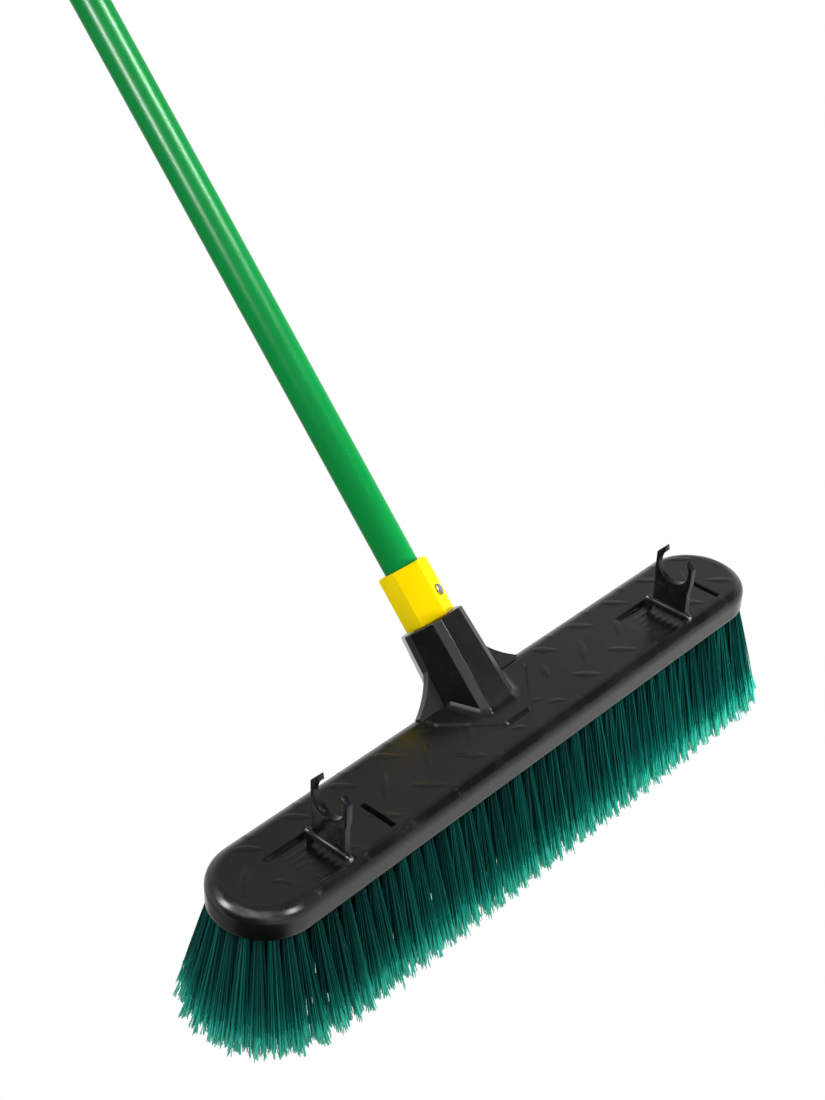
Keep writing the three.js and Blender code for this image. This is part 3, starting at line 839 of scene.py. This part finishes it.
class WorldNodes:
    """Builds the world's brightness out of directions."""

    def __init__(self, tree):
        self.tree = tree
        self.direction = tree.nodes.new("ShaderNodeTexCoord").outputs["Generated"]

    def math(self, operation, first, second):
        node = self.tree.nodes.new("ShaderNodeMath")
        node.operation = operation
        for value, socket in zip((first, second), node.inputs):
            if isinstance(value, float):
                socket.default_value = value
            else:
                self.tree.links.new(value, socket)
        return node.outputs["Value"]

    def towards(self, direction):
        """Cosine of the angle to a direction."""
        dot = self.tree.nodes.new("ShaderNodeVectorMath")
        dot.operation = "DOT_PRODUCT"
        dot.inputs[1].default_value = Vector(direction).normalized()
        self.tree.links.new(self.direction, dot.inputs[0])
        return dot.outputs["Value"]

    def lobe(self, direction, inner, outer, low, high):
        fade = self.tree.nodes.new("ShaderNodeMapRange")
        fade.interpolation_type = "SMOOTHSTEP"
        fade.inputs["From Min"].default_value = math.cos(math.radians(outer))
        fade.inputs["From Max"].default_value = math.cos(math.radians(inner))
        fade.inputs["To Min"].default_value = low
        fade.inputs["To Max"].default_value = high
        self.tree.links.new(self.towards(direction), fade.inputs["Value"])
        return fade.outputs["Result"]

    def gradient(self, levels):
        """Brightness by height, between the levels given."""
        ramp = self.tree.nodes.new("ShaderNodeValToRGB")
        height = self.math("MULTIPLY_ADD", self.towards((0, 0, 1)), 0.5)
        height.node.inputs[2].default_value = 0.5
        self.tree.links.new(height, ramp.inputs["Fac"])
        stops = ramp.color_ramp.elements
        for index, (height, level) in enumerate(levels):
            stop = stops[index] if index < 2 else stops.new((height + 1) / 2)
            stop.position = (height + 1) / 2
            stop.color = (level, level, level, 1)
        return ramp.outputs["Color"]


def tent_light():
    """A white tent: soft light for matt surfaces, shaped lobes for glossy ones."""
    world = bpy.data.worlds.new("tent")
    world.use_nodes = True
    bpy.context.scene.world = world
    nodes = WorldNodes(world.node_tree)
    mirrored = nodes.gradient(TENT_LEVELS)
    for direction, inner, outer, factor in SHADES:
        shade = nodes.lobe(direction, inner, outer, 1.0, factor)
        mirrored = nodes.math("MULTIPLY", mirrored, shade)
    for direction, inner, outer, strength in LAMPS:
        glow = nodes.lobe(direction, inner, outer, 0.0, strength)
        mirrored = nodes.math("ADD", mirrored, glow)
    received = nodes.math("MULTIPLY", nodes.towards(KEY_DIRECTION), KEY_LEVEL * KEY_CONTRAST)
    received = nodes.math("ADD", received, KEY_LEVEL)
    path = world.node_tree.nodes.new("ShaderNodeLightPath")
    difference = nodes.math("SUBTRACT", mirrored, received)
    level = nodes.math("MULTIPLY", difference, path.outputs["Is Glossy Ray"])
    level = nodes.math("ADD", level, received)
    level = nodes.math("MAXIMUM", level, path.outputs["Is Camera Ray"])
    background = world.node_tree.nodes["Background"]
    background.inputs["Color"].default_value = (1, 1, 1, 1)
    world.node_tree.links.new(level, background.inputs["Strength"])


def strip_lamp(name, direction, width, length, radiance):
    """A soft box that the upper handle mirrors, and that adds no matt light."""
    distance = 0.7
    data = bpy.data.lights.new(name, "AREA")
    data.shape = "RECTANGLE"
    data.size, data.size_y = width, length
    data.energy = radiance * math.pi * width * length
    data.spread = math.radians(40)
    lamp = bpy.data.objects.new(name, data)
    way = Vector(direction).normalized()
    side = HANDLE_AXIS.cross(way).normalized()
    turn = Matrix((side, way.cross(side), way)).transposed().to_4x4()
    middle = AXIS_ORIGIN + HANDLE_AXIS * STRIP_ALONG_HANDLE
    lamp.matrix_world = Matrix.Translation(middle + way * distance) @ turn
    lamp.visible_diffuse = False
    lamp.visible_camera = False
    bpy.context.scene.collection.objects.link(lamp)


def bristle_lamp():
    """A soft box by the +X end that lights the bristles from the front right."""
    data = bpy.data.lights.new("bristle_lamp", "AREA")
    data.shape = "DISK"
    data.size = BRISTLE_LAMP_SIZE
    data.energy = BRISTLE_LAMP_ENERGY
    lamp = bpy.data.objects.new("bristle_lamp", data)
    place = Vector((BLOCK_HIGH.x + 0.27, -0.36, 0.12))
    way = (place - Vector((BLOCK_HIGH.x - 0.05, 0, 0.04))).normalized()
    turn = way.to_track_quat("Z", "Y").to_matrix().to_4x4()
    lamp.matrix_world = Matrix.Translation(place) @ turn
    lamp.visible_glossy = False
    lamp.visible_camera = False
    bpy.context.scene.collection.objects.link(lamp)


def white_floor():
    """A large white sheet under the broom, evenly lit."""
    bm = bmesh.new()
    bmesh.ops.create_grid(bm, x_segments=8, y_segments=8, size=9)
    mesh = bpy.data.meshes.new("floor")
    bm.to_mesh(mesh)
    bm.free()
    m = Material("floor_white", (0, 0, 0), 1.0, 0.0)
    m.shader.inputs["Emission Color"].default_value = (1, 1, 1, 1)
    m.shader.inputs["Emission Strength"].default_value = 1.0
    mesh.materials.append(m.material)
    floor = bpy.data.objects.new("floor", mesh)
    floor.location.z = -0.0004
    floor.visible_glossy = False
    floor.visible_diffuse = False
    bpy.context.scene.collection.objects.link(floor)


# ------------------------------------------------------------ assembly

black = moulded_plastic("block_plastic", (0.0048, 0.0048, 0.0037), (0.0080, 0.0080, 0.0061), 0.2)
# the clip plastic is a darker, bluer copy of the block's black: its lowered colour is painted
# shade on the clip plates
clip_black_painted_shade = moulded_plastic(
    "clip_plastic", (0.0028, 0.0028, 0.0042), (0.0045, 0.0045, 0.0065), 0.26, 0.3
)
yellow = moulded_plastic("yellow_plastic", (0.96, 0.655, 0.0), (1.0, 0.70, 0.0), 0.36, 0.02)
green = painted_tube()
steel = metal("zinc_steel", (0.40, 0.39, 0.37), 0.38)

build_block(black)
build_bristles(bristle_material())
for side in ("left", "right"):
    refined(
        f"clip_{side}", f"clip_{side}_moulded", f"{side}_clip", clip_black_painted_shade,
        0.7 * MM, 25 * MM * MM,
    )
    refined(f"clip_pin_{side}", f"clip_pin_{side}_turned", "broom_head", steel, 0.3 * MM)
refined("collar", "collar_moulded", "handle", yellow, 0.8 * MM, 200 * MM * MM)
refined("handle_tube", "handle_tube_painted", "handle", green)
refined("end_cap", "end_cap_moulded", "handle", yellow)
refined("collar_screw", "collar_screw_turned", "handle", steel, 0.2 * MM)

place_camera(Vector((0, 0, TOP)))
tent_light()
strip_lamp("strip_right", (0.365, -0.45, 0.815), 0.15, 0.42, 9.0)
strip_lamp("strip_left", (-0.855, -0.11, 0.505), 0.16, 0.36, 9.0)
bristle_lamp()
white_floor()
bpy.context.scene.view_settings.view_transform = "Standard"
